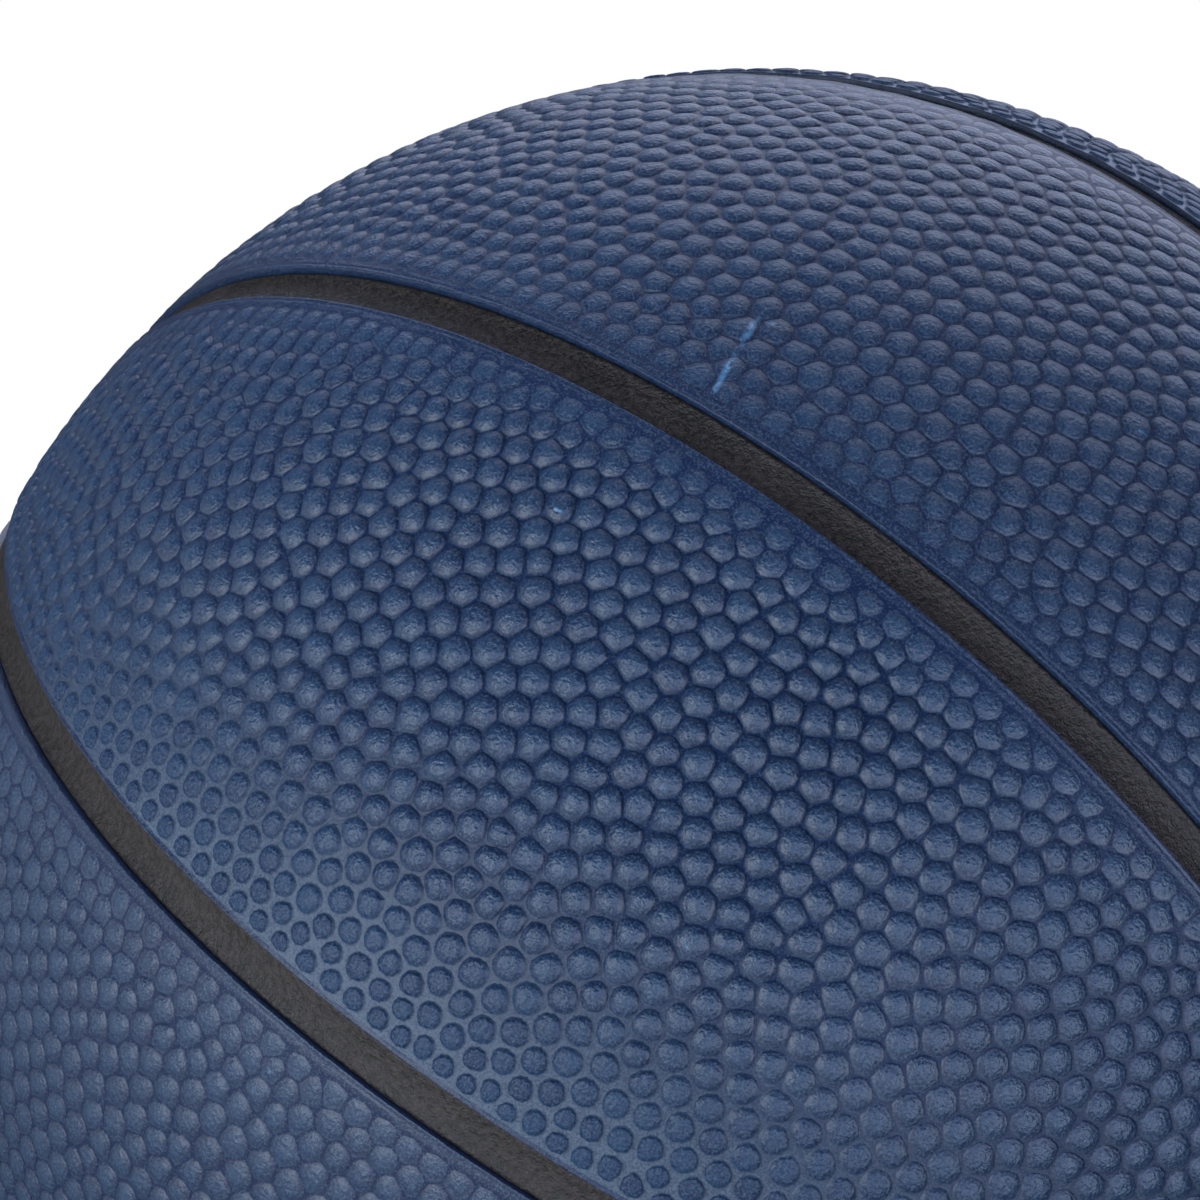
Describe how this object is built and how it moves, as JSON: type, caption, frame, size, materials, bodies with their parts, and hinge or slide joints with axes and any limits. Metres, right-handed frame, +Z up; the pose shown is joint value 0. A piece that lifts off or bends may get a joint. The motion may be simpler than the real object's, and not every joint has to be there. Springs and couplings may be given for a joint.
{
  "type": "basketball",
  "caption": "Pebbled navy rubber basketball: panels from pole to pole with recessed black channels between, bonded over a carcass, a thread winding and an air bladder with a needle valve.",
  "frame": {"origin": "centre of the ball", "axes": "+X along the pole axis and out of the valve, +Z up through the middle of the top channel, -Y towards the front"},
  "size_m": [0.238, 0.2388, 0.2388],
  "materials": {
    "cover_rubber": "moulded pebble grain, satin",
    "channel_rubber": "smooth matte with fine lengthwise wrinkles",
    "carcass_rubber": "matte calendered rubber",
    "winding_thread": "wound nylon thread",
    "bladder_rubber": "soft butyl, dusted",
    "valve_rubber": "moulded rubber, satin",
    "insert_rubber": "soft moulded rubber, slightly glossy"
  },
  "bodies": {
    "ball": {"bladder": "bladder_rubber", "thread_winding": "winding_thread", "carcass": "carcass_rubber", "valve_patch": "carcass_rubber", "valve_housing": "valve_rubber", "valve_pole_disc": "channel_rubber", "plain_pole_disc": "channel_rubber", "cover_panel_1": "cover_rubber", "cover_panel_2": "cover_rubber", "cover_panel_3": "cover_rubber", "cover_panel_4": "cover_rubber", "cover_panel_5": "cover_rubber", "cover_panel_6": "cover_rubber", "cover_panel_7": "cover_rubber", "cover_panel_8": "cover_rubber", "channel_strip_1": "channel_rubber", "channel_strip_2": "channel_rubber", "channel_strip_3": "channel_rubber", "channel_strip_4": "channel_rubber", "channel_strip_5": "channel_rubber", "channel_strip_6": "channel_rubber", "channel_strip_7": "channel_rubber", "channel_strip_8": "channel_rubber"},
    "valve_insert": {"valve_insert": "insert_rubber"}
  },
  "joints": [
    {"name": "insert_pull", "type": "slide", "parent": "ball", "child": "valve_insert", "axis": [1, 0, 0], "range_m": [0, 0.02]}
  ]
}
